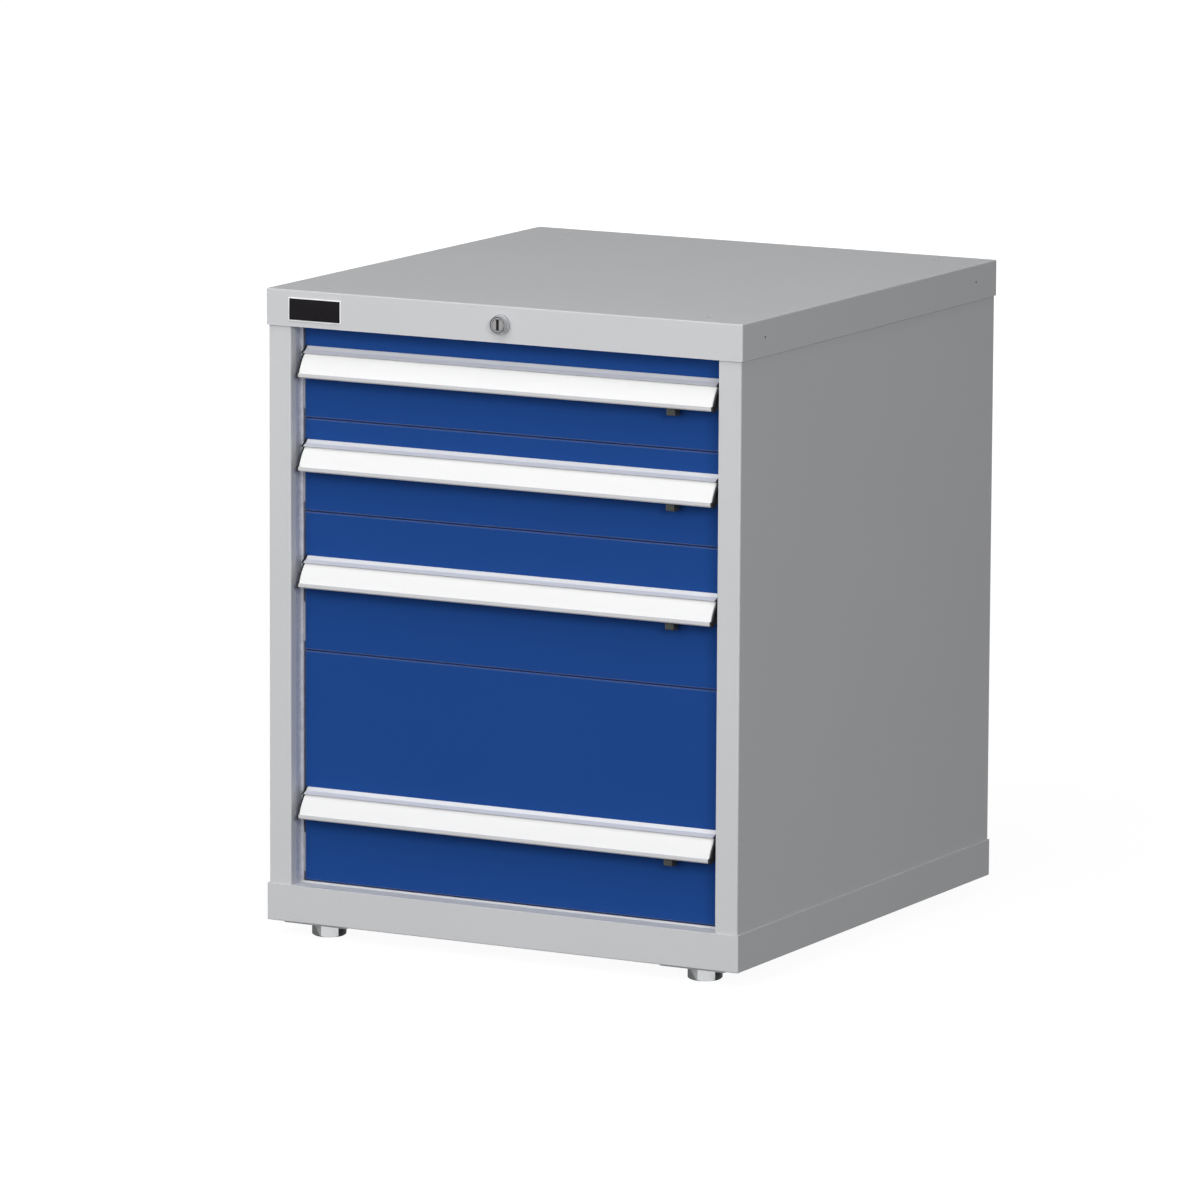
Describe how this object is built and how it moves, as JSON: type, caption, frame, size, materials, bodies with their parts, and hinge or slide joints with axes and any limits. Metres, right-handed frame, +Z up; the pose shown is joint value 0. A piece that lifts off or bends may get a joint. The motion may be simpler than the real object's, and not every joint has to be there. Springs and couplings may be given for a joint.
{
  "type": "tool cabinet",
  "caption": "Free-standing sheet-steel tool cabinet with sliding drawers, bow handles with label strips, safety catches, a central key lock and levelling feet.",
  "frame": {"origin": "on the floor under the middle of the whole part's box", "axes": "+Z up, drawers open towards -Y, +X to the right seen from the front"},
  "size_m": [0.567, 0.6086, 0.6985],
  "materials": {
    "housing_paint": "fine-textured powder coat",
    "front_paint": "smooth powder coat",
    "box_paint": "fine-textured powder coat",
    "galvanised_steel": "galvanised",
    "slide_steel": "zinc plated",
    "ball_steel": "polished",
    "anodised_aluminium": "satin anodised",
    "end_cap_plastic": "moulded",
    "label_plastic": "smooth",
    "catch_plastic": "moulded",
    "nameplate_plastic": "smooth",
    "lock_chrome": "polished",
    "plug_brass": "nickel plated",
    "zinc_steel": "zinc plated"
  },
  "bodies": {
    "cabinet": {"top_cover": "housing_paint", "base_tray": "housing_paint", "left_side_panel": "housing_paint", "right_side_panel": "housing_paint", "back_panel": "housing_paint", "back_screws": "zinc_steel", "uprights": "galvanised_steel", "keeper_strips": "galvanised_steel", "nameplate": "nameplate_plastic", "foot_plates": "housing_paint", "fixing_nuts": "zinc_steel", "lock_housing": "lock_chrome", "lock_guides": "zinc_steel", "drawer_1_outer_rails": "slide_steel", "drawer_2_outer_rails": "slide_steel", "drawer_3_outer_rails": "slide_steel", "drawer_4_outer_rails": "slide_steel"},
    "lock_rotor": {"lock_plug": "plug_brass", "lock_rod": "zinc_steel"},
    "lock_bar": {"lock_bar": "zinc_steel"},
    "foot_front_left": {"foot_front_left": "zinc_steel"},
    "foot_front_right": {"foot_front_right": "zinc_steel"},
    "foot_rear_left": {"foot_rear_left": "zinc_steel"},
    "foot_rear_right": {"foot_rear_right": "zinc_steel"},
    "drawer_1": {"drawer_1_front": "front_paint", "drawer_1_box": "box_paint", "drawer_1_handle": "anodised_aluminium", "drawer_1_handle_caps": "end_cap_plastic", "drawer_1_label_strip": "label_plastic", "drawer_1_inner_rails": "slide_steel"},
    "drawer_1_middle": {"drawer_1_middle_rails": "slide_steel", "drawer_1_slide_balls": "ball_steel"},
    "drawer_1_catch": {"drawer_1_catch": "catch_plastic"},
    "drawer_2": {"drawer_2_front": "front_paint", "drawer_2_box": "box_paint", "drawer_2_handle": "anodised_aluminium", "drawer_2_handle_caps": "end_cap_plastic", "drawer_2_label_strip": "label_plastic", "drawer_2_inner_rails": "slide_steel"},
    "drawer_2_middle": {"drawer_2_middle_rails": "slide_steel", "drawer_2_slide_balls": "ball_steel"},
    "drawer_2_catch": {"drawer_2_catch": "catch_plastic"},
    "drawer_3": {"drawer_3_front": "front_paint", "drawer_3_box": "box_paint", "drawer_3_handle": "anodised_aluminium", "drawer_3_handle_caps": "end_cap_plastic", "drawer_3_label_strip": "label_plastic", "drawer_3_inner_rails": "slide_steel"},
    "drawer_3_middle": {"drawer_3_middle_rails": "slide_steel", "drawer_3_slide_balls": "ball_steel"},
    "drawer_3_catch": {"drawer_3_catch": "catch_plastic"},
    "drawer_4": {"drawer_4_front": "front_paint", "drawer_4_box": "box_paint", "drawer_4_handle": "anodised_aluminium", "drawer_4_handle_caps": "end_cap_plastic", "drawer_4_label_strip": "label_plastic", "drawer_4_inner_rails": "slide_steel"},
    "drawer_4_middle": {"drawer_4_middle_rails": "slide_steel", "drawer_4_slide_balls": "ball_steel"},
    "drawer_4_catch": {"drawer_4_catch": "catch_plastic"}
  },
  "joints": [
    {"name": "lock_turn", "type": "hinge", "parent": "cabinet", "child": "lock_rotor", "pos_m": [0, -0.29575, 0.6793], "axis": [0, 1, 0], "range_deg": [0, 90]},
    {"name": "lock_bar_lift", "type": "slide", "parent": "cabinet", "child": "lock_bar", "axis": [0, 0, 1], "range_m": [0, 0.008]},
    {"name": "foot_front_left_height", "type": "slide", "parent": "cabinet", "child": "foot_front_left", "axis": [0, 0, -1], "range_m": [0, 0.02]},
    {"name": "foot_front_right_height", "type": "slide", "parent": "cabinet", "child": "foot_front_right", "axis": [0, 0, -1], "range_m": [0, 0.02]},
    {"name": "foot_rear_left_height", "type": "slide", "parent": "cabinet", "child": "foot_rear_left", "axis": [0, 0, -1], "range_m": [0, 0.02]},
    {"name": "foot_rear_right_height", "type": "slide", "parent": "cabinet", "child": "foot_rear_right", "axis": [0, 0, -1], "range_m": [0, 0.02]},
    {"name": "drawer_1_slide", "type": "slide", "parent": "cabinet", "child": "drawer_1", "axis": [0, -1, 0], "range_m": [0, 0.5]},
    {"name": "drawer_1_middle_slide", "type": "slide", "parent": "cabinet", "child": "drawer_1_middle", "axis": [0, -1, 0], "range_m": [0, 0.25]},
    {"name": "drawer_1_catch_slide", "type": "slide", "parent": "drawer_1", "child": "drawer_1_catch", "axis": [-1, 0, 0], "range_m": [0, 0.005], "stiffness_N_per_m": 300, "springref_m": -0.004},
    {"name": "drawer_2_slide", "type": "slide", "parent": "cabinet", "child": "drawer_2", "axis": [0, -1, 0], "range_m": [0, 0.5]},
    {"name": "drawer_2_middle_slide", "type": "slide", "parent": "cabinet", "child": "drawer_2_middle", "axis": [0, -1, 0], "range_m": [0, 0.25]},
    {"name": "drawer_2_catch_slide", "type": "slide", "parent": "drawer_2", "child": "drawer_2_catch", "axis": [-1, 0, 0], "range_m": [0, 0.005], "stiffness_N_per_m": 300, "springref_m": -0.004},
    {"name": "drawer_3_slide", "type": "slide", "parent": "cabinet", "child": "drawer_3", "axis": [0, -1, 0], "range_m": [0, 0.5]},
    {"name": "drawer_3_middle_slide", "type": "slide", "parent": "cabinet", "child": "drawer_3_middle", "axis": [0, -1, 0], "range_m": [0, 0.25]},
    {"name": "drawer_3_catch_slide", "type": "slide", "parent": "drawer_3", "child": "drawer_3_catch", "axis": [-1, 0, 0], "range_m": [0, 0.005], "stiffness_N_per_m": 300, "springref_m": -0.004},
    {"name": "drawer_4_slide", "type": "slide", "parent": "cabinet", "child": "drawer_4", "axis": [0, -1, 0], "range_m": [0, 0.5]},
    {"name": "drawer_4_middle_slide", "type": "slide", "parent": "cabinet", "child": "drawer_4_middle", "axis": [0, -1, 0], "range_m": [0, 0.25]},
    {"name": "drawer_4_catch_slide", "type": "slide", "parent": "drawer_4", "child": "drawer_4_catch", "axis": [-1, 0, 0], "range_m": [0, 0.005], "stiffness_N_per_m": 300, "springref_m": -0.004}
  ],
  "couplings": [
    {"joint": "lock_turn", "follows": "lock_bar_lift", "rad_per_m": 196.35},
    {"joint": "drawer_1_middle_slide", "follows": "drawer_1_slide", "ratio": 0.5},
    {"joint": "drawer_2_middle_slide", "follows": "drawer_2_slide", "ratio": 0.5},
    {"joint": "drawer_3_middle_slide", "follows": "drawer_3_slide", "ratio": 0.5},
    {"joint": "drawer_4_middle_slide", "follows": "drawer_4_slide", "ratio": 0.5}
  ]
}
